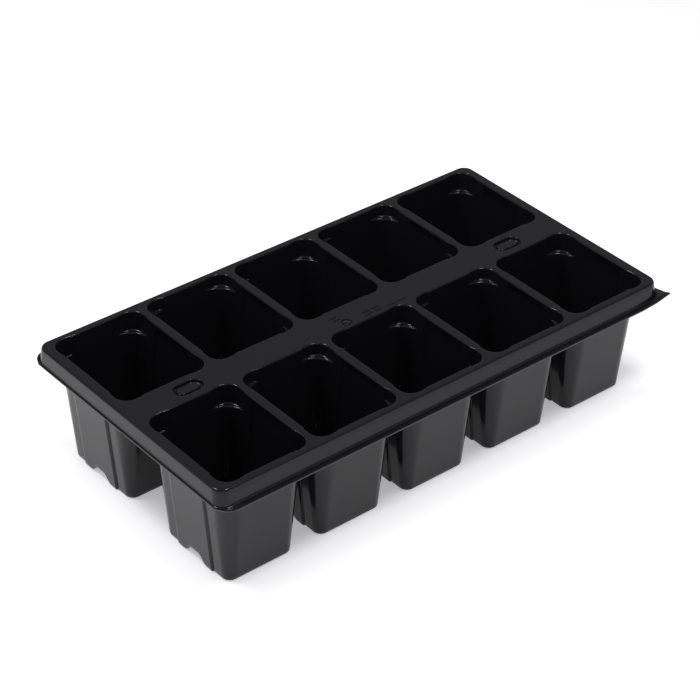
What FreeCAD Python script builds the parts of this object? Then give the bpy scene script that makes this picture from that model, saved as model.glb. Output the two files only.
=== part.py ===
import FreeCAD, Part
import math
import os

from FreeCAD import Vector

# Ten-cell seedling tray: one thermoformed sheet, two rows of five tapered cells.
# X runs along the rows, +Y is toward the back row, and z = 0 is the surface it stands on.
# The sheet is written out as the regions that its fold lines make, face to face.
# All sizes are in millimetres, angles in degrees.

# Sheet and layout, seen from above
sheet = 0.9                 # wall of the formed sheet
cells_in_row = 5
cell_pitch = 60.0           # cell to cell along a row
opening_length = 54.5       # one opening along X, at the deck
opening_width = 67.2        # one opening along Y, at the deck
land_width = 19.4           # land between the two rows
end_border = 6.4            # deck outside the openings, at the short ends
side_border = 4.6           # deck outside the openings, along the long sides

# Heights
tray_height = 72.0
skirt_drop = 9.8            # deck down to the flange

# Rim
skirt_flare = 0.6           # how far the skirt's foot stands out from the deck's edge
shoulder_radius = 1.4       # deck into skirt, outside
flange_root_radius = 0.8    # skirt into flange, outside
deck_corner_radius = 6.5
flange_at_left = 1.2        # flange beyond the skirt's foot; the sheet is trimmed off centre
flange_at_right = 4.0
flange_at_sides = 5.0
flange_corner_radius = 10.0  # three corners; the front right one is cut square

# Cell
floor_length = 43.0         # outside of the cell's bottom along X
floor_width = 54.6          # outside of the cell's bottom along Y
cell_corner_top = 11.5      # outside corner radius at the deck
cell_corner_foot = 5.5      # outside corner radius at the floor
foot_radius = 1.5           # wall into floor, outside
lip_radius = 0.8            # deck into cell, upper side
panel_width = 30.0          # flat panel down the middle of each X-facing wall
panel_proud = 1.0
panel_fade = 3.8            # height over which a panel dies out under the lip

# Stacking pocket in each corner of a cell; deep and shallow cells take turns along a row
pocket_depths = (11.5, 7.2)
pocket_reach = 12.5         # along each wall, from the opening's square corner
pocket_bulge = 0.6          # beyond the straight edge of the opening
pocket_corner_radius = 7.5
pocket_draft = 4.0

# Drain channel under each cell's floor, along X, and the hole in its crown
channel_width = 15.0
channel_height = 5.0
channel_corner_radius = 3.0
drain_diameter = 8.0

# Oblong dimple in the land, one near each end, around a plain raised island
dimple_length = 18.5
dimple_width = 10.5
dimple_depth = 2.2
dimple_border = 2.5         # width of the groove round the island
island_drop = 0.8           # deck down to the island's top
dimple_from_middle = 113.0

# Worked out from the sizes above
fold_depth = lip_radius + sheet / 3.0           # where a cell region meets the deck's lip
fold_z = tray_height - fold_depth
flange_z = tray_height - skirt_drop
row_offset = (land_width + opening_width) / 2.0
openings_half_length = (cell_pitch * (cells_in_row - 1) + opening_length) / 2.0
openings_half_width = row_offset + opening_width / 2.0
deck_length = 2.0 * (openings_half_length + end_border)
deck_width = 2.0 * (openings_half_width + side_border)
flange_left = -deck_length / 2.0 - skirt_flare - flange_at_left
flange_right = deck_length / 2.0 + skirt_flare + flange_at_right
flange_back = deck_width / 2.0 + skirt_flare + flange_at_sides

# Aids for the modelling
seam_inset = 1.0            # seams of the land and rim lie this far inside an opening
beyond = 5.0                # overshoot of every cutting shape


def tapered_block(bottom, top, z_bottom, z_top):
    """Four-sided block; bottom and top are (length, width) centred on the Z axis."""
    rings = []
    for (length, width), z in ((bottom, z_bottom), (top, z_top)):
        x, y = length / 2.0, width / 2.0
        corners = [Vector(-x, -y, z), Vector(x, -y, z), Vector(x, y, z), Vector(-x, y, z)]
        rings.append(Part.makePolygon(corners + corners[:1]))
    return Part.makeLoft(rings, True, True)


def box_between(x0, x1, y0, y1, z0, z1):
    return Part.makeBox(x1 - x0, y1 - y0, z1 - z0, Vector(x0, y0, z0))


def edges_at(shape, z):
    """Edges that lie in the plane at height z."""
    return [e for e in shape.Edges if abs(e.BoundBox.ZMin - z) < 1e-5 and abs(e.BoundBox.ZMax - z) < 1e-5]


def upright_edge(shape, sx, sy):
    """The outermost rising edge toward one corner, given by its signs in X and Y."""
    rising = [e for e in shape.Edges if abs(e.Vertexes[0].Z - e.Vertexes[-1].Z) > 1e-5]
    return max(rising, key=lambda e: sx * e.CenterOfMass.x + sy * e.CenterOfMass.y)


def round_upright_edges(block, radius_bottom, radius_top):
    """Round the four slanting corner edges, the radius growing from bottom to top."""
    for sx, sy in ((-1, -1), (-1, 1), (1, -1), (1, 1)):
        edge = upright_edge(block, sx, sy)
        low_first = edge.Vertexes[0].Z < edge.Vertexes[-1].Z
        radii = (radius_bottom, radius_top) if low_first else (radius_top, radius_bottom)
        block = block.makeFillet(radii[0], radii[1], [edge])
    return block


def wall_size(at_deck, at_floor, z, grow):
    """Full size of a cell at height z; grow is 0 inside the sheet and sheet outside it."""
    inside_floor = at_floor - 2.0 * sheet
    return inside_floor + (at_deck - inside_floor) * z / tray_height + 2.0 * grow


def cell_size(z, grow):
    return (wall_size(opening_length, floor_length, z, grow),
            wall_size(opening_width, floor_width, z, grow))


def cell_body(grow):
    """The tapered cell with its two wall panels, as a solid plug up past the deck."""
    z_foot = sheet - grow
    z_top = tray_height + beyond
    corner_shift = grow - sheet
    body = tapered_block(cell_size(z_foot, grow), cell_size(z_top, grow), z_foot, z_top)
    body = round_upright_edges(body, cell_corner_foot + corner_shift, cell_corner_top + corner_shift)
    body = body.makeFillet(foot_radius + corner_shift, edges_at(body, z_foot))
    width = panel_width - 2.0 * (sheet - grow)
    foot_length, top_length = cell_size(z_foot, grow)[0], cell_size(fold_z, grow)[0]
    panel = tapered_panel(foot_length, top_length, width, z_foot, grow)
    return body.fuse(panel)


def tapered_panel(foot_length, top_length, width, z_foot, grow):
    """Block that carries the proud panels of both X-facing walls, dying out under the lip."""
    fade_z = fold_z - panel_fade
    fade_length = cell_size(fade_z, grow)[0] + 2.0 * panel_proud
    lower = tapered_block((foot_length + 2.0 * panel_proud, width), (fade_length, width), z_foot, fade_z)
    lower = lower.makeFillet(foot_radius + grow - sheet,
                             [e for e in edges_at(lower, z_foot) if e.BoundBox.XLength < 1e-5])
    upper = tapered_block((fade_length, width), (top_length, width), fade_z, fold_z)
    return lower.fuse(upper)


def pocket_block(depth, grow):
    """Stacking pocket for the +X +Y corner of a cell, open upward."""
    z_ledge = tray_height - depth - grow
    rings = []
    for z in (z_ledge, tray_height + beyond):
        drop = (tray_height - z) * math.tan(math.radians(pocket_draft))
        x = opening_length / 2.0 + grow - drop
        y = opening_width / 2.0 + grow - drop
        inner_x, inner_y = opening_length / 2.0 - pocket_reach, opening_width / 2.0 - pocket_reach
        out = pocket_bulge
        points = [Vector(inner_x - grow, inner_y - grow, z),
                  Vector(x, inner_y - grow, z),
                  Vector(x + out, inner_y - grow + 2.0 * out, z),
                  Vector(x + out, y + out, z),
                  Vector(inner_x - grow + 2.0 * out, y + out, z),
                  Vector(inner_x - grow, y, z)]
        rings.append(Part.makePolygon(points + points[:1]))
    block = Part.makeLoft(rings, True, True)
    return block.makeFillet(pocket_corner_radius + grow, [upright_edge(block, 1, 1)])


def four_corners(block):
    """The block and its mirror images in the other three corners."""
    across = block.mirror(Vector(0, 0, 0), Vector(1, 0, 0))
    pair = [block, across]
    return pair + [piece.mirror(Vector(0, 0, 0), Vector(0, 1, 0)) for piece in pair]


def channel_prism(grow):
    """The drain channel's tunnel, longer than the cell; grow is sheet for its upper side."""
    half = channel_width / 2.0 + grow
    length = floor_length + 8.0 * beyond
    prism = box_between(-length / 2.0, length / 2.0, -half, half, -beyond, channel_height + grow)
    crown = [e for e in edges_at(prism, channel_height + grow) if e.BoundBox.YLength < 1e-5]
    return prism.makeFillet(channel_corner_radius + grow, crown)


def cell_plug(pocket_depth, grow):
    """A cell as one solid: its inside when grow is 0, its outside when grow is sheet."""
    body = cell_body(grow)
    for pocket in four_corners(pocket_block(pocket_depth, grow)):
        body = body.fuse(pocket)
    return body.cut(channel_prism(sheet - grow)).removeSplitter()


def lip_cutter(inside):
    """The top of the cell's inside, widened by the rounded lip where it meets the deck."""
    margin = 2.0 * (lip_radius + pocket_bulge) + 1.0
    length, width = opening_length + margin, opening_width + margin
    depth = fold_depth + beyond
    block = box_between(-length / 2.0, length / 2.0, -width / 2.0, width / 2.0,
                        tray_height - depth, tray_height)
    plate = block.cut(inside)
    edge_of_block = length / 2.0 - 1e-3
    lip = [e for e in edges_at(plate, tray_height)
           if e.BoundBox.XMax < edge_of_block and e.BoundBox.XMin > -edge_of_block
           and e.BoundBox.YLength < width - 1e-3]
    return block.cut(plate.makeFillet(lip_radius, lip))


def stadium(length, width, z0, z1):
    """Upright prism with a round-ended outline, long in X."""
    straight = length - width
    body = box_between(-straight / 2.0, straight / 2.0, -width / 2.0, width / 2.0, z0, z1)
    for x in (-straight / 2.0, straight / 2.0):
        body = body.fuse(Part.makeCylinder(width / 2.0, z1 - z0, Vector(x, 0, z0)))
    return body.removeSplitter()


def dimple_cutter(grow):
    """Dimple round its island; grow is 0 on top of the sheet and sheet underneath."""
    floor_z = tray_height - dimple_depth - grow
    dimple = stadium(dimple_length + 2.0 * grow, dimple_width + 2.0 * grow, floor_z, tray_height + beyond)
    border = dimple_border + grow
    island = stadium(dimple_length - 2.0 * border, dimple_width - 2.0 * border,
                     floor_z, tray_height - island_drop - grow)
    return dimple.cut(island)


def deck_block(inset):
    """Everything under the deck, skirt and flange; inset is 0 on top of the sheet, sheet below it."""
    top_z, foot_z = tray_height - inset, flange_z - inset
    length, width = deck_length - 2.0 * inset, deck_width - 2.0 * inset
    block = tapered_block((length + 2.0 * skirt_flare, width + 2.0 * skirt_flare), (length, width),
                          foot_z, top_z)
    block = round_upright_edges(block, deck_corner_radius + skirt_flare - inset, deck_corner_radius - inset)
    block = block.makeFillet(shoulder_radius - inset, edges_at(block, top_z))
    reach = 2.0 * beyond if inset else 0.0
    plate = box_between(flange_left - reach, flange_right + reach, -flange_back - reach, flange_back + reach,
                        foot_z - 2.0 * beyond, foot_z)
    if not inset:
        rounded = [upright_edge(plate, sx, sy) for sx, sy in ((-1, -1), (-1, 1), (1, 1))]
        plate = plate.makeFillet(flange_corner_radius, rounded)
    body = block.fuse(plate)
    root = [e for e in edges_at(body, foot_z)
            if e.BoundBox.XMin > flange_left + 0.1 and e.BoundBox.XMax < flange_right - 0.1
            and e.BoundBox.YMin > -flange_back + 0.1 and e.BoundBox.YMax < flange_back - 0.1]
    return body.makeFillet(flange_root_radius + inset, root)


def cell_centres():
    """Name, place and pocket depth of each cell, front row first, left to right."""
    cells = []
    for row, side in (("front", -1), ("back", 1)):
        for i in range(cells_in_row):
            x = (i - (cells_in_row - 1) / 2.0) * cell_pitch
            cells.append(("cell_%s_%d" % (row, i + 1), Vector(x, side * row_offset, 0), pocket_depths[i % 2]))
    return cells


def moved(shape, place):
    copy = shape.copy()
    copy.translate(place)
    return copy


def top_sheet(outside, inside):
    """Deck, skirt and flange as one sheet with ten lipped openings and two dimples."""
    cutter = lip_cutter(inside)
    size = cell_size(tray_height, sheet)
    reach = 2.0 * pocket_bulge + 1.0
    collar_box = box_between(-size[0] / 2.0 - reach, size[0] / 2.0 + reach,
                             -size[1] / 2.0 - reach, size[1] / 2.0 + reach, fold_z, tray_height)
    collar = outside.common(collar_box)
    upper, lower = deck_block(0.0), deck_block(sheet)
    places = [place for name, place, depth in cell_centres()]
    upper = upper.cut([moved(cutter, place) for place in places])
    lower = lower.cut([moved(collar, place) for place in places])
    for side in (-1, 1):
        spot = Vector(side * dimple_from_middle, 0, 0)
        upper = upper.cut(moved(dimple_cutter(0.0), spot))
        lower = lower.cut(moved(dimple_cutter(sheet), spot))
    return upper.cut(lower)


def column_over(outline):
    """Upright prism over a plan outline, tall enough for the whole tray."""
    points = [Vector(x, y, -beyond) for x, y in outline]
    face = Part.Face(Part.makePolygon(points + points[:1]))
    return face.extrude(Vector(0, 0, tray_height + 2.0 * beyond))


def deck_regions():
    """Plan region of each node that the top sheet is divided into."""
    ix, iy = openings_half_length - seam_inset, openings_half_width - seam_inset
    # the corners are mitred at 45 degrees outward from the openings' outer corners
    out = deck_width
    regions = {
        "rim_front": [(-ix, -iy), (-ix - out, -iy - out), (ix + out, -iy - out), (ix, -iy)],
        "rim_back": [(-ix, iy), (ix, iy), (ix + out, iy + out), (-ix - out, iy + out)],
    }
    inner_x = openings_half_length - opening_length / 2.0
    land = land_width / 2.0 + seam_inset
    regions["rim_left"] = [(-ix - out, -iy - out), (-ix, -iy), (-inner_x, -iy), (-inner_x, -land),
                           (-ix, -land), (-ix, land), (-inner_x, land), (-inner_x, iy), (-ix, iy),
                           (-ix - out, iy + out)]
    regions["rim_right"] = [(-x, y) for x, y in regions["rim_left"]]
    regions["centre_land"] = [(-ix, -land), (ix, -land), (ix, land), (-ix, land)]
    for row, side in (("front", -1), ("back", 1)):
        for i in range(cells_in_row - 1):
            x0 = (i - (cells_in_row - 1) / 2.0) * cell_pitch
            x1 = x0 + cell_pitch
            y0, y1 = side * land, side * iy
            regions["web_%s_%d" % (row, i + 1)] = [(x0, y0), (x1, y0), (x1, y1), (x0, y1)]
    return regions


def as_solid(shape):
    """The shape as one solid; a region that falls apart keeps all its solids in a compound."""
    solids = shape.Solids
    return solids[0] if len(solids) == 1 else Part.makeCompound(solids)


def export(name, shape):
    shape = as_solid(shape)
    shape.exportStep("parts/%s.step" % name)
    box = shape.optimalBoundingBox(False, False)
    print("%-14s solids %d valid %s volume %8.1f  x %7.2f..%7.2f  y %7.2f..%7.2f  z %6.2f..%6.2f"
          % (name, len(shape.Solids), shape.isValid(), shape.Volume,
             box.XMin, box.XMax, box.YMin, box.YMax, box.ZMin, box.ZMax))


def cell_cup(outside, inside):
    """One cell below the fold, with its drain hole."""
    reach = opening_width
    below_fold = box_between(-reach, reach, -reach, reach, -beyond, fold_z)
    cup = outside.common(below_fold).cut(inside)
    return cup.cut(Part.makeCylinder(drain_diameter / 2.0, 4.0 * beyond, Vector(0, 0, -beyond)))


def build():
    os.makedirs("parts", exist_ok=True)
    plugs = {depth: (cell_plug(depth, sheet), cell_plug(depth, 0.0)) for depth in pocket_depths}
    cups = {depth: cell_cup(*plugs[depth]) for depth in pocket_depths}
    for name, place, depth in cell_centres():
        export(name, moved(cups[depth], place))
    # the lips are the same over deep and shallow pockets
    top = top_sheet(*plugs[pocket_depths[0]])
    for name, outline in deck_regions().items():
        export(name, top.common(column_over(outline)))


build()
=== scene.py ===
import math

import bmesh
import bpy
from mathutils import Matrix, Vector


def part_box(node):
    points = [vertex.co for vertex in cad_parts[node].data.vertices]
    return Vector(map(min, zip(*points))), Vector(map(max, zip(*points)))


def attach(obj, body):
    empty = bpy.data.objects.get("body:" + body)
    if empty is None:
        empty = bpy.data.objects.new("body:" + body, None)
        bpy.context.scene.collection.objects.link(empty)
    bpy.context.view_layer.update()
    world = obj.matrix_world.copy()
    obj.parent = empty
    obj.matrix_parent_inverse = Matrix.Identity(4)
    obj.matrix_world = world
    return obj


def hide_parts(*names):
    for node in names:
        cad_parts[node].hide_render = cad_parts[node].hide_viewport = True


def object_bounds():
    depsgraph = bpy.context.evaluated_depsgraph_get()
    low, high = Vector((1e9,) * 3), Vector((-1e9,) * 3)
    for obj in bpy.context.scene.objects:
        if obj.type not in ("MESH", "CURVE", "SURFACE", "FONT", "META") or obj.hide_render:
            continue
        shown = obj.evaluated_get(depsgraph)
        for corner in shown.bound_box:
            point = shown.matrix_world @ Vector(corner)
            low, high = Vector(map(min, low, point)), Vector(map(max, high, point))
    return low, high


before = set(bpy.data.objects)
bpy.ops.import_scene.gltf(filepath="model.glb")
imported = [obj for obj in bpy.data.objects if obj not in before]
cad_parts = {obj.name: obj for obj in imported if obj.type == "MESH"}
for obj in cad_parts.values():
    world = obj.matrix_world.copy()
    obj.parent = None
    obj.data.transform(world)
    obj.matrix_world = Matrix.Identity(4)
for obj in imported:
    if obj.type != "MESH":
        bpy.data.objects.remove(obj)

mm = 0.001
tiny = 1e-9
cadBounds = [[float(v) for v in corner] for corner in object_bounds()]


def mix(a, b, t):
    return a + (b - a) * t


def ease(t):
    t = min(max(t, 0.0), 1.0)
    return t * t * (3.0 - 2.0 * t)


def degSin(a):
    return math.sin(math.radians(a))


def degCos(a):
    return math.cos(math.radians(a))


# The whole tray, in millimetres; places come from the parts in model.glb.
tray = {
    "sheet": 0.9,
    "height": (cadBounds[1][2] - cadBounds[0][2]) / mm,
    "foldDepth": 1.1,      # a cell piece meets the deck piece this far below the deck's top
    "rows": ("front", "back"),
    "columns": 5,
    "creaseAngle": 55,     # degrees; edges sharper than this keep a hard line
}

# One cell, by the upper side of the sheet, in millimetres with its middle at the origin.
cell = {
    "mouth": (54.5, 67.2),
    "foot": (41.2, 52.8),
    "cornerMouth": 12.4,
    "cornerFoot": 4.2,
    "cornerSteps": 12,
    "lip": 0.8,
    "lipAngles": (90, 70, 50, 30, 15, 0),
    "flatBesideLip": 0.4,
    "footFillet": 0.6,
    "footAngles": (0, 22, 45, 68, 90),
    "panelHalf": 14.1,
    "panelStep": 0.8,
    "panelProud": 1.0,
    "panelFade": (67.1, 70.9),     # the panel dies out between these heights
    "pocketDepths": (11.5, 7.2),   # deep and shallow cells take turns along a row
    "pocketReach": 12.5,
    "pocketBulge": 0.6,
    "pocketCorner": 7.5,
    "pocketDraft": 4.0,            # degrees
    "pocketSlope": 3,              # the step from wall to pocket is this many bulges long
    "besideCorner": (1.2, 0.4),    # extra points on the wall, this far before its rounded corner
    "ridgeHeight": 5.0,
    "ridgeCrown": 3.6,
    "ridgeFoot": 9.4,
    "ridgeDiesAt": 20.0,
    # where the outline has points along the wall at +X, and along the one at +Y, from their middles
    "sideStations": (0, 1.8, 3.6, 4.4, 5.2, 6.0, 6.8, 7.6, 8.5, 9.4, 11.6, 13.8, 14.1, 14.9,
                     15.2, 18.0),
    "endStations": (0, 2.2, 4.2, 5.9, 8.0, 10.4),
    "drainRadius": 4.0,
    "drainSteps": 2,               # grid steps from the floor's middle to the hole's edge
    "wallHeights": (4, 6, 9, 13, 18, 24, 32, 40, 48, 54),
    # the ledge under a stacking pocket: share of the way from pocket to wall, height above the ledge
    "ledge": ((1.0, -2.2), (1.0, -1.2), (0.985, -0.65), (0.94, -0.35), (0.88, -0.17), (0.8, -0.07),
              (0.5, 0.0), (0.2, 0.07), (0.13, 0.14), (0.07, 0.28), (0.02, 0.52), (0.0, 0.95),
              (0.0, 1.6)),
    "wallAboveLedge": (2.4, 69.2),   # from this far above the ledge up to this height
}


def wallAt(z):
    t = z / tray["height"]
    halfX = mix(cell["foot"][0], cell["mouth"][0], t) / 2
    halfY = mix(cell["foot"][1], cell["mouth"][1], t) / 2
    return halfX, halfY, mix(cell["cornerFoot"], cell["cornerMouth"], t)


# How far the drain channel pushes a point of the floor or wall up.
def ridgeLift(y, z):
    across = 1 - ease((abs(y) - cell["ridgeCrown"]) / (cell["ridgeFoot"] - cell["ridgeCrown"]))
    low = cell["ridgeDiesAt"]
    return cell["ridgeHeight"] * across * min(max((low - z) / (low - tray["sheet"]), 0), 1)


def panelOut(y, z):
    across = 1 - min(max((abs(y) - cell["panelHalf"]) / cell["panelStep"], 0), 1)
    low, high = cell["panelFade"]
    return cell["panelProud"] * across * (1 - ease((z - low) / (high - low)))


# A quarter of the cell's outline, from the +X wall's middle round to the +Y wall's middle.
def quarterOutline(z, outset, pocket):
    halfX, halfY, radius = wallAt(z)
    points = []
    for y in cell["sideStations"]:
        zHere = z + ridgeLift(y, z)
        points.append((wallAt(zHere)[0] + outset + panelOut(y, zHere), y, zHere))
    if pocket:
        drop = (tray["height"] - z) * math.tan(math.radians(cell["pocketDraft"]))
        pocketX, pocketY = (side / 2 - drop + cell["pocketBulge"] for side in cell["mouth"])
        startX, startY = (side / 2 - cell["pocketReach"] for side in cell["mouth"])
        run = cell["pocketSlope"] * cell["pocketBulge"]
        radius = cell["pocketCorner"]
        before = [(halfX + outset, startY, z), (pocketX + outset, startY + run, z)]
        after = [(startX + run, pocketY + outset, z), (startX, halfY + outset, z)]
        centreX, centreY = pocketX - radius, pocketY - radius
    else:
        centreX, centreY = halfX - radius, halfY - radius
        before = [(halfX + outset, centreY - gap, z) for gap in cell["besideCorner"]]
        after = [(centreX - gap, halfY + outset, z) for gap in reversed(cell["besideCorner"])]
    points += before
    for i in range(cell["cornerSteps"] + 1):
        a = 90 * i / cell["cornerSteps"]
        points.append((centreX + (radius + outset) * degCos(a), centreY + (radius + outset) * degSin(a), z))
    points += after
    points += [(x, halfY + outset, z) for x in reversed(cell["endStations"])]
    return points


# The whole outline, anticlockwise from the middle of the +X wall; share moves it from wall to pocket.
def fullOutline(z, outset=0.0, pocket=False, share=0.0):
    quarter = quarterOutline(z, outset, pocket)
    if share:
        other = quarterOutline(z, outset, True)
        quarter = [tuple(mix(a, b, share) for a, b in zip(p, q)) for p, q in zip(quarter, other)]
    ring = list(quarter)
    ring += [(-x, y, h) for x, y, h in reversed(quarter[:-1])]
    ring += [(-x, -y, h) for x, y, h in quarter[1:]]
    ring += [(x, -y, h) for x, y, h in reversed(quarter[1:-1])]
    return ring


# The outline part way round the lip: 90 degrees is the wall, 0 the flat deck.
def lipOutline(angle):
    base = tray["height"] - cell["lip"]
    ring = fullOutline(base, cell["lip"] * (1 - degSin(angle)), pocket=True)
    z = base + cell["lip"] * degCos(angle)
    return [(x, y, z) for x, y, _ in ring]


def placed(points, centre=(0.0, 0.0)):
    return [Vector(((x + centre[0]) * mm, (y + centre[1]) * mm, z * mm)) for x, y, z in points]


# Extrude a closed ring of vertices and set the new ring down on the given places.
def pullRing(bm, ring, places):
    edges = [bm.edges.get((ring[i - 1], ring[i])) for i in range(len(ring))]
    made = bmesh.ops.extrude_edge_only(bm, edges=edges)["geom"]
    fresh = {v for v in made if isinstance(v, bmesh.types.BMVert)}
    pulled = []
    for vert, place in zip(ring, places):
        new = next(e.other_vert(vert) for e in vert.link_edges if e.other_vert(vert) in fresh)
        new.co = place
        pulled.append(new)
    return pulled


def newRing(bm, places):
    ring = bmesh.ops.create_circle(bm, segments=len(places), radius=1.0)["verts"]
    ring.sort(key=lambda v: math.atan2(v.co.y, v.co.x) % (2 * math.pi))
    for vert, place in zip(ring, places):
        vert.co = place
    return ring


# Turn the sheet's upper surface into a closed sheet, with hard lines only at its sharp edges.
def giveThickness(bm, thickness):
    bmesh.ops.recalc_face_normals(bm, faces=bm.faces)
    top = max(bm.faces, key=lambda f: abs(f.normal.z) * f.calc_area())
    if top.normal.z < 0:
        bmesh.ops.reverse_faces(bm, faces=bm.faces)
    bmesh.ops.solidify(bm, geom=bm.faces, thickness=thickness)
    bm.normal_update()
    limit = math.radians(tray["creaseAngle"])
    for face in bm.faces:
        face.smooth = True
    for edge in bm.edges:
        edge.smooth = len(edge.link_faces) == 2 and edge.calc_face_angle() < limit


def meshObject(bm, name):
    mesh = bpy.data.meshes.new(name)
    bm.to_mesh(mesh)
    obj = bpy.data.objects.new(name, mesh)
    bpy.context.scene.collection.objects.link(obj)
    return obj


# The cell's floor as a grid whose rows run along the drain channel, with the drain hole left open.
def floorGrid(bm):
    ring = fullOutline(tray["sheet"], -cell["footFillet"])
    halfSteps = cell["cornerSteps"] // 2
    rows = len(cell["sideStations"]) + 1 + halfSteps + 1
    columns = len(cell["endStations"]) + 1 + halfSteps + 1
    side = ring[:rows + 1]                                  # +X wall's middle to the corner's middle
    end = ring[rows:rows + columns + 1][::-1]               # +Y wall's middle to the corner's middle
    made = bmesh.ops.create_grid(bm, x_segments=2 * columns, y_segments=2 * rows, size=1.0)["verts"]
    grid = {}
    straightRow, straightColumn = cell["panelHalf"] + cell["panelStep"], cell["endStations"][-1]
    for vert in made:
        i, j = round(vert.co.x * columns), round(vert.co.y * rows)
        grid[i, j] = vert
        sideX, sideY, _ = side[abs(j)]
        endX, endY, _ = end[abs(i)]
        bowX = max(endX - straightColumn, 0) / (end[-1][0] - straightColumn)
        bowY = max(sideY - straightRow, 0) / (side[-1][1] - straightRow)
        x = endX + bowX * (sideX - side[-1][0])
        y = sideY + bowY * (endY - end[-1][1])
        vert.co = (math.copysign(x, i) * mm, math.copysign(y, j) * mm,
                   (tray["sheet"] + ridgeLift(y, tray["sheet"])) * mm)
    hole = [v for (i, j), v in grid.items() if max(abs(i), abs(j)) < cell["drainSteps"]]
    bmesh.ops.delete(bm, geom=hole, context="VERTS")
    for (i, j), vert in grid.items():
        if max(abs(i), abs(j)) == cell["drainSteps"]:
            a = math.atan2(j, i)
            vert.co.x = cell["drainRadius"] * math.cos(a) * mm
            vert.co.y = cell["drainRadius"] * math.sin(a) * mm
    order = [(columns, j) for j in range(0, rows + 1)]
    order += [(i, rows) for i in range(columns - 1, -columns - 1, -1)]
    order += [(-columns, j) for j in range(rows - 1, -rows - 1, -1)]
    order += [(i, -rows) for i in range(-columns + 1, columns + 1)]
    order += [(columns, j) for j in range(-rows + 1, 0)]
    return [grid[key] for key in order]


# One cell below the fold: floor, foot fillet, tapered wall, ledge and stacking pockets.
def buildCell(pocketDepth):
    bm = bmesh.new()
    ring = floorGrid(bm)
    fillet = cell["footFillet"]
    for a in cell["footAngles"]:
        outset = -fillet * (1 - degSin(a))
        z = tray["sheet"] + fillet * (1 - degCos(a))
        ring = pullRing(bm, ring, placed(fullOutline(z, outset))) if a else ring
        if not a:
            for vert, place in zip(ring, placed(fullOutline(z, outset))):
                vert.co = place
    for z in cell["wallHeights"]:
        ring = pullRing(bm, ring, placed(fullOutline(z)))
    ledge = tray["height"] - pocketDepth
    for share, rise in cell["ledge"]:
        ring = pullRing(bm, ring, placed(fullOutline(ledge + rise, share=1 - share)))
    above, near = cell["wallAboveLedge"]
    for z in (ledge + above, mix(ledge + above, near, 0.5), near, tray["height"] - tray["foldDepth"]):
        ring = pullRing(bm, ring, placed(fullOutline(z, pocket=True)))
    giveThickness(bm, tray["sheet"] * mm)
    return bm


# The deck, skirt and flange, in millimetres.
rim = {
    "cornerRadius": 6.5,
    "cornerSteps": 16,
    "longSteps": 30,
    "shortSteps": 17,
    "skirtDrop": 9.8,
    "flare": (0.6, 1.7),     # how far the skirt's foot stands out, at the ends and along the sides
    "shoulder": 1.4,
    "shoulderSteps": 8,
    "root": 0.8,
    "rootSteps": 6,
    "flatBesideShoulder": 0.4,
    "skirtStops": (2.2, 4.4, 6.6),
    "flangeLeft": 1.8,       # these three: from the deck's edge to the flange's edge
    "flangeRight": 4.6,
    "flangeSides": 5.6,
    "flangeCorner": 10.0,
    "cornerMargin": 0.5,     # its corner points start this far before the rounding
    "squareRadius": 0.0001,  # stands for a square corner
    "trim": 0.2,             # kept clear so that the sheet's slanting edge stays inside the part's box
    "flangeShares": (0.12, 0.35, 0.6, 0.85, 1.0),   # rings across the flange, from skirt to edge
    "droop": 0.35,           # how far the flange hangs down along the sides
    "droopSpan": (2.0, 4.0),   # it starts this far inside the deck's edge and is full after this width
    "bend": 1.5,             # power by which droop and curl grow towards the edge
    # corners of the flange that curl up: which one, lift, and how far in the curl reaches
    "curls": (((1, -1), 3.2, 17.0), ((-1, 1), 1.1, 14.0)),
    "curlSquash": 1.3,       # the curl reaches less far in Y, by this factor
}

# Two oblong dimples round a plain island, and a few plain sunk shapes near the middle of the land.
# Each ring of a stamp is how far in from its outline, and how high against the deck.
stamps = {
    "dimple": {"size": (18.5, 10.5), "steps": 16,
               "rings": ((-0.4, 0), (0, 0), (0.12, -0.05), (0.3, -0.35), (0.45, -1.2), (0.6, -1.85),
                         (0.9, -2.15), (1.3, -2.2), (1.75, -2.2), (2.05, -2.1), (2.25, -1.75),
                         (2.4, -1.2), (2.55, -0.9), (2.8, -0.8), (3.2, -0.8))},
    "bar": {"size": (6.0, 1.5), "steps": 6,
            "rings": ((-0.2, 0), (0, 0), (0.1, -0.15), (0.22, -0.5), (0.4, -0.65))},
    "disc": {"size": (6.4, 6.4), "steps": 10,
             "rings": ((-0.2, 0), (0, 0), (0.12, -0.2), (0.3, -0.65), (0.85, -0.65), (1.05, -0.2),
                       (1.2, -0.04))},
    "middleGap": 0.001,    # keeps the two round ends' points apart where there is no straight between
    "places": (("dimple", (-113.0, 0.0)), ("dimple", (113.0, 0.0)), ("bar", (-13.4, 2.4)),
               ("bar", (-12.4, -0.3)), ("disc", (-9.8, -4.7)), ("bar", (4.6, -3.4)), ("bar", (4.6, -6.2)),
               ("bar", (12.2, -3.4)), ("bar", (12.2, -6.2)), ("bar", (21.0, -6.6)), ("bar", (28.6, -6.6))),
}


# Where a ray from the inner corner meets a corner of the given radius, measured from that inner corner.
def cornerPoint(angle, reach, radius):
    c, s = degCos(angle), degSin(angle)
    if radius < reach * (1 - min(c, s) / max(c, s)) + tiny:
        scale = reach / max(c, s)
        return c * scale, s * scale
    centre = reach - radius
    along = centre * (c + s)
    distance = along + math.sqrt(max(along * along - 2 * centre * centre + radius * radius, 0))
    return c * distance, s * distance


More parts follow.
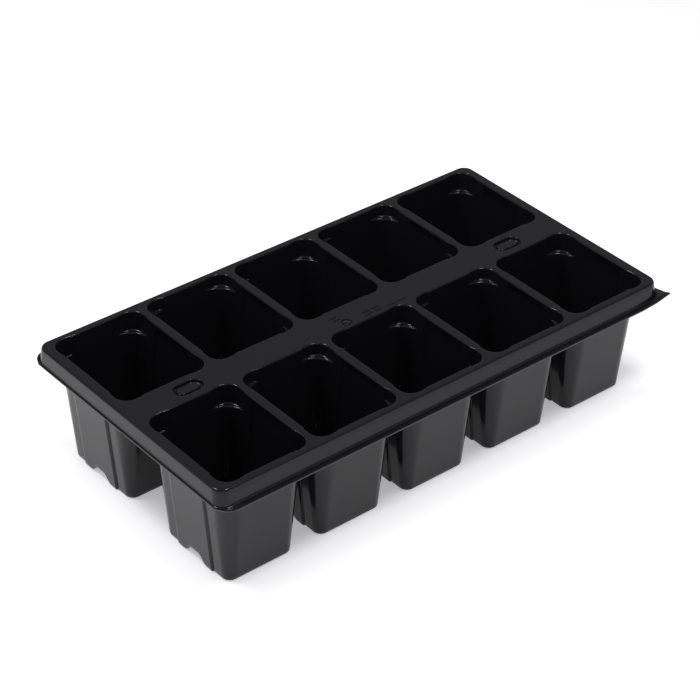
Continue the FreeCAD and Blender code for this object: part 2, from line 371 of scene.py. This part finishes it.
# Rounded rectangle, anticlockwise from its back right corner. Each corner's points begin at a
# distance of reach from where the two sides would meet.
def rimOutline(halfX, halfY, z, radius, reach=None, squareCorner=False):
    reach = reach or radius
    steps = rim["cornerSteps"]
    ring = []
    corners = ((1, 1), (-1, 1), (-1, -1), (1, -1))
    spans = (rim["longSteps"], rim["shortSteps"], rim["longSteps"], rim["shortSteps"])
    for n, (sx, sy) in enumerate(corners):
        here = rim["squareRadius"] if squareCorner and (sx, sy) == (1, -1) else radius
        points = []
        for i in range(steps + 1):
            x, y = cornerPoint(90 * i / steps, reach, here)
            points.append((sx * (halfX - reach + x), sy * (halfY - reach + y), z))
        ring += points if sx * sy > 0 else points[::-1]
        nextX, nextY = corners[(n + 1) % 4]
        start = ring[-1]
        if n % 2 == 0:
            stop = (nextX * (halfX - reach), nextY * halfY, z)
        else:
            stop = (nextX * halfX, nextY * (halfY - reach), z)
        for i in range(1, spans[n]):
            ring.append(tuple(mix(a, b, i / spans[n]) for a, b in zip(start, stop)))
    return ring


# Rings from the deck's flat over the shoulder, down the skirt and out over the flange.
def rimRings():
    height = tray["height"]
    halfX = cadBounds[1][0] / mm - rim["flangeRight"]
    halfY = cadBounds[1][1] / mm - rim["flangeSides"]
    corner = rim["cornerRadius"]
    lean = math.degrees(math.atan(rim["flare"][0] / rim["skirtDrop"]))
    half = math.tan(math.radians((90 - lean) / 2))

    # out is measured from the deck's edge; sideExtra is for the long sides, which lean out further
    def ringAt(out, z, sideExtra=0.0):
        return rimOutline(halfX + out, halfY + out + sideExtra, z, corner + out)

    start = -rim["shoulder"] * half
    rings = [ringAt(start - rim["flatBesideShoulder"], height)]
    for i in range(rim["shoulderSteps"] + 1):
        a = (90 - lean) * i / rim["shoulderSteps"]
        rings.append(ringAt(start + rim["shoulder"] * degSin(a), height - rim["shoulder"] * (1 - degCos(a))))
    extra = rim["flare"][1] - rim["flare"][0]
    for drop in rim["skirtStops"]:
        t = drop / rim["skirtDrop"]
        rings.append(ringAt(t * rim["flare"][0], height - drop, t * extra))
    flangeZ = height - rim["skirtDrop"]
    rootOut = rim["flare"][0] + rim["root"] * half
    for i in range(rim["rootSteps"] + 1):
        a = (90 - lean) * (1 - i / rim["rootSteps"])
        rings.append(ringAt(rootOut - rim["root"] * degSin(a),
                            flangeZ + rim["root"] * (1 - degCos(a)), extra))
    inner = rings[-1]
    edgeLeft = -halfX - rim["flangeLeft"] + rim["trim"]
    edgeRight = halfX + rim["flangeRight"] - rim["trim"]
    edgeY = halfY + rim["flangeSides"] - rim["trim"]
    outer = rimOutline((edgeRight - edgeLeft) / 2, edgeY, flangeZ, rim["flangeCorner"],
                       reach=rim["flangeCorner"] + rim["cornerMargin"], squareCorner=True)
    outer = [(x + (edgeLeft + edgeRight) / 2, y, z) for x, y, z in outer]
    before, width = rim["droopSpan"]
    for share in rim["flangeShares"]:
        ring = []
        for a, b in zip(inner, outer):
            x, y, z = (mix(p, q, share) for p, q in zip(a, b))
            z -= rim["droop"] * ease((abs(y) - halfY + before) / width) * share ** rim["bend"]
            for (sx, sy), lift, reach in rim["curls"]:
                acrossX = x - (edgeRight if sx > 0 else edgeLeft)
                away = math.hypot(acrossX, (y - sy * edgeY) * rim["curlSquash"])
                z += lift * max(1 - away / reach, 0) ** rim["bend"]
            ring.append((x, y, z))
        rings.append(ring)
    return rings


# Round-ended oblong, long in X, as a ring of places.
def stampOutline(kind, centre, inset, depth):
    length, width = stamps[kind]["size"]
    radius, straight = width / 2 - inset, (length - width) / 2 + stamps["middleGap"]
    steps = stamps[kind]["steps"]
    ring = []
    for side in (1, -1):
        for i in range(steps + 1):
            a = -90 + 180 * i / steps
            ring.append((side * (straight + radius * degCos(a)), side * radius * degSin(a),
                         tray["height"] + depth))
    return placed(ring, centre)


# The deck with its lips, dimples and marks, the skirt and the flange, as one sheet.
def buildDeck(centres):
    bm = bmesh.new()
    deckEdges = []

    def onDeck(ring):
        deckEdges.extend(bm.edges.get((ring[i - 1], ring[i])) for i in range(len(ring)))

    flatOut = cell["lip"] + cell["flatBesideLip"]
    for centre in centres:
        ring = newRing(bm, placed(fullOutline(tray["height"] - tray["foldDepth"], pocket=True), centre))
        for a in cell["lipAngles"]:
            ring = pullRing(bm, ring, placed(lipOutline(a), centre))
        flat = fullOutline(tray["height"] - cell["lip"], flatOut, pocket=True)
        ring = pullRing(bm, ring, placed([(x, y, tray["height"]) for x, y, _ in flat], centre))
        onDeck(ring)
    rings = rimRings()
    ring = newRing(bm, placed(rings[0]))
    onDeck(ring)
    for points in rings[1:]:
        ring = pullRing(bm, ring, placed(points))
    for kind, spot in stamps["places"]:
        profile = stamps[kind]["rings"]
        ring = newRing(bm, stampOutline(kind, spot, *profile[0]))
        onDeck(ring)
        for inset, depth in profile[1:]:
            ring = pullRing(bm, ring, stampOutline(kind, spot, inset, depth))
        bmesh.ops.contextual_create(bm, geom=ring)
    bmesh.ops.triangle_fill(bm, use_beauty=True, use_dissolve=False, edges=deckEdges)
    giveThickness(bm, tray["sheet"] * mm)
    return bm


# Colours are sRGB hex values, written as linear ones here and nowhere else.
def colour(hexValue):
    channels = [int(hexValue[i:i + 2], 16) / 255 for i in (1, 3, 5)]
    return tuple(c / 12.92 if c <= 0.04045 else ((c + 0.055) / 1.055) ** 2.4 for c in channels) + (1.0,)


def addNode(tree, kind, inputs=None, links=None, **settings):
    node = tree.nodes.new(kind)
    for name, value in settings.items():
        setattr(node, name, value)
    for name, value in (inputs or {}).items():
        node.inputs[name].default_value = value
    for name, socket in (links or {}).items():
        tree.links.new(socket, node.inputs[name])
    return node


def newMaterial(name):
    material = bpy.data.materials.new(name)
    material.use_nodes = True
    material.node_tree.nodes.clear()
    return material, material.node_tree


# High-impact polystyrene sheet with carbon black, drawn hot over a smooth tool: near-black body,
# a satin gloss that stays crisp in the radii, and faint waviness where the sheet cooled.
# How strongly it mirrors was set.
hips = {
    "body": "#151518",
    "ior": 1.59,
    "gloss": 0.21,         # 0.5 would be all that the index of refraction gives
    "roughnessLow": 0.12,
    "roughnessHigh": 0.18,
    "clouding": 18.0,      # mm between clouds in the gloss
    "cloudDetail": 3.0,
    "cloudRange": (0.3, 0.7),   # the part of the noise that the roughness follows
    "waviness": 26.0,      # mm from crest to crest
    "waveDetail": 1.0,
    "waveDepth": 0.05,     # mm
    "grain": 0.9,          # mm, drawn coarser than a real grain of about 0.1 mm so that it shows
    "grainDetail": 2.0,
    "grainDepth": 0.003,   # mm
}


def blackHips():
    material, tree = newMaterial("thermoformed black HIPS sheet")
    place = addNode(tree, "ShaderNodeTexCoord").outputs["Object"]
    clouds = addNode(tree, "ShaderNodeTexNoise",
                     {"Scale": 1 / (hips["clouding"] * mm), "Detail": hips["cloudDetail"]},
                     {"Vector": place})
    low, high = hips["cloudRange"]
    gloss = addNode(tree, "ShaderNodeMapRange",
                    {"From Min": low, "From Max": high,
                     "To Min": hips["roughnessLow"], "To Max": hips["roughnessHigh"]},
                    {"Value": clouds.outputs["Fac"]})
    waves = addNode(tree, "ShaderNodeTexNoise",
                    {"Scale": 1 / (hips["waviness"] * mm), "Detail": hips["waveDetail"]},
                    {"Vector": place})
    waveBump = addNode(tree, "ShaderNodeBump", {"Strength": 1.0, "Distance": hips["waveDepth"] * mm},
                       {"Height": waves.outputs["Fac"]})
    grain = addNode(tree, "ShaderNodeTexNoise",
                    {"Scale": 1 / (hips["grain"] * mm), "Detail": hips["grainDetail"]},
                    {"Vector": place})
    grainBump = addNode(tree, "ShaderNodeBump", {"Strength": 1.0, "Distance": hips["grainDepth"] * mm},
                        {"Height": grain.outputs["Fac"], "Normal": waveBump.outputs["Normal"]})
    shader = addNode(tree, "ShaderNodeBsdfPrincipled",
                     {"Base Color": colour(hips["body"]), "IOR": hips["ior"],
                      "Specular IOR Level": hips["gloss"]},
                     {"Roughness": gloss.outputs["Result"], "Normal": grainBump.outputs["Normal"]})
    addNode(tree, "ShaderNodeOutputMaterial", links={"Surface": shader.outputs["BSDF"]})
    return material


# White acrylic sheet whose glow is painted light, not a lamp: matt, and bright enough that shadows on it
# stay pale, with a painted shadow where the glow is dimmer under the tray and a painted pool of light beside
# it.
# How the glow changes round the tray was set.
table = {
    "halfSize": 6.0,       # metres
    "colour": "#f2f2f3",
    "roughness": 0.9,
    "glow": "#fcfcff",
    "paintedShadowUnder": 0.36,     # painted shadow: the glow is dimmer under the tray
    # painted pool of light: the glow is brighter beside the tray
    "paintedLightBeside": 0.56,
    "glowAway": 0.44,
    "halfSpan": (0.16, 0.092, 1.0),   # metres, a little over the tray's half length and width
    "edge": (0.75, 1.1),   # edge of the painted shadow: the glow rises between these shares of the half span
    "away": (1.3, 2.2),    # and the painted pool of light falls away between these
}


def paleFloor():
    material, tree = newMaterial("white floor with painted glow and shadow")
    place = addNode(tree, "ShaderNodeTexCoord").outputs["Object"]
    shares = addNode(tree, "ShaderNodeVectorMath", {1: table["halfSpan"]}, {0: place}, operation="DIVIDE")
    sides = addNode(tree, "ShaderNodeVectorMath", {}, {0: shares.outputs["Vector"]}, operation="ABSOLUTE")
    axes = addNode(tree, "ShaderNodeSeparateXYZ", {}, {"Vector": sides.outputs["Vector"]})
    reach = addNode(tree, "ShaderNodeMath", {}, {0: axes.outputs["X"], 1: axes.outputs["Y"]},
                    operation="MAXIMUM")
    # The emission paints a shadow under the tray and a pool of light beside it.
    rise = addNode(tree, "ShaderNodeMapRange",
                   {"From Min": table["edge"][0], "From Max": table["edge"][1],
                    "To Min": table["paintedShadowUnder"], "To Max": table["paintedLightBeside"]},
                   {"Value": reach.outputs["Value"]}, interpolation_type="SMOOTHSTEP")
    fall = addNode(tree, "ShaderNodeMapRange",
                   {"From Min": table["away"][0], "From Max": table["away"][1],
                    "To Min": 1.0, "To Max": table["glowAway"] / table["paintedLightBeside"]},
                   {"Value": reach.outputs["Value"]}, interpolation_type="SMOOTHSTEP")
    glow = addNode(tree, "ShaderNodeMath", {}, {0: rise.outputs["Result"], 1: fall.outputs["Result"]},
                   operation="MULTIPLY")
    shader = addNode(tree, "ShaderNodeBsdfPrincipled",
                     {"Base Color": colour(table["colour"]), "Roughness": table["roughness"],
                      "Emission Color": colour(table["glow"])},
                     {"Emission Strength": glow.outputs["Value"]})
    addNode(tree, "ShaderNodeOutputMaterial", links={"Surface": shader.outputs["BSDF"]})
    return material


# Where the viewer stands: the look is aimed at a point on the deck.
view = {
    "target": (-25.2, -26.32),    # mm, on the deck's plane
    "distance": 1230.4,           # mm
    "azimuth": 39.92,             # degrees round from looking along +Y
    "elevation": 35.0,            # degrees above the floor
    "roll": 0.9,                  # degrees
    "lens": 118.3,                # mm
    "sensor": 36.0,               # mm
}


def buildCamera():
    data = bpy.data.cameras.new("mainCamera")
    data.lens, data.sensor_width = view["lens"], view["sensor"]
    az, el, roll = (math.radians(view[k]) for k in ("azimuth", "elevation", "roll"))
    forward = Vector((math.sin(az) * math.cos(el), math.cos(az) * math.cos(el), -math.sin(el)))
    right = forward.cross(Vector((0, 0, 1))).normalized()
    up = right.cross(forward)
    right, up = (right * math.cos(roll) + up * math.sin(roll), up * math.cos(roll) - right * math.sin(roll))
    target = Vector((view["target"][0] * mm, view["target"][1] * mm, tray["height"] * mm))
    camera = bpy.data.objects.new("mainCamera", data)
    turn = Matrix((right, up, -forward)).transposed().to_4x4()
    camera.matrix_world = Matrix.Translation(target - forward * view["distance"] * mm) @ turn
    bpy.context.scene.collection.objects.link(camera)
    bpy.context.scene.camera = camera


# Soft light: places and sizes in metres, power in watts.
lighting = {
    "world": 0.32,
    "lamps": {
        "overheadBack": {"place": (-0.36, 0.26, 0.85), "size": (0.24, 0.16), "power": 3.4},
        "overheadFront": {"place": (0.08, -0.3, 0.85), "size": (0.24, 0.16), "power": 3.0},
        "key": {"place": (-0.95, 0.6, 0.8), "size": (0.6, 0.6), "power": 0.5},
    },
}


# A rectangular soft light that faces the middle of the part.
def areaLight(name, spec):
    data = bpy.data.lights.new(name, "AREA")
    data.shape = "RECTANGLE"
    data.size, data.size_y = spec["size"]
    data.energy = spec["power"]
    lamp = bpy.data.objects.new(name, data)
    place = Vector(spec["place"])
    lamp.matrix_world = Matrix.Translation(place) @ place.to_track_quat("Z", "Y").to_matrix().to_4x4()
    bpy.context.scene.collection.objects.link(lamp)


def buildStage():
    bm = bmesh.new()
    bmesh.ops.create_grid(bm, x_segments=1, y_segments=1, size=table["halfSize"])
    floor = meshObject(bm, "floor")
    bm.free()
    floor.data.materials.append(paleFloor())
    world = bpy.data.worlds.new("studio")
    world.use_nodes = True
    world.node_tree.nodes["Background"].inputs["Color"].default_value = (1, 1, 1, 1)
    world.node_tree.nodes["Background"].inputs["Strength"].default_value = lighting["world"]
    bpy.context.scene.world = world
    bpy.context.scene.view_settings.view_transform = "Standard"
    for name, spec in lighting["lamps"].items():
        areaLight(name, spec)


def middleOf(node):
    low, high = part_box(node)
    return ((low[0] + high[0]) / 2 / mm, (low[1] + high[1]) / 2 / mm)


sheetMaterial = blackHips()
cellDepths = {"cell_%s_%d" % (row, i + 1): cell["pocketDepths"][i % 2]
              for row in tray["rows"] for i in range(tray["columns"])}
otherNodes = [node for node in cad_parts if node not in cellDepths]

for depth in cell["pocketDepths"]:
    cellMesh = buildCell(depth)
    for node in (n for n, d in cellDepths.items() if d == depth):
        x, y = middleOf(node)
        shape = cellMesh.copy()
        bmesh.ops.translate(shape, verts=shape.verts, vec=(x * mm, y * mm, 0))
        piece = meshObject(shape, node.replace("cell", "formed_cell"))
        shape.free()
        piece.data.materials.append(sheetMaterial)
        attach(piece, "root")
        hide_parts(node)
    cellMesh.free()
    print("cells with %.1f mm pockets: %d" % (depth, list(cellDepths.values()).count(depth)))

deckMesh = buildDeck([middleOf(node) for node in cellDepths])
deck = meshObject(deckMesh, "formed_deck_and_rim")
deckMesh.free()
deck.data.materials.append(sheetMaterial)
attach(deck, "root")
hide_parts(*otherNodes)
print("deck and rim: %d faces" % len(deck.data.polygons))

buildStage()
buildCamera()
print("stage, lights and camera")
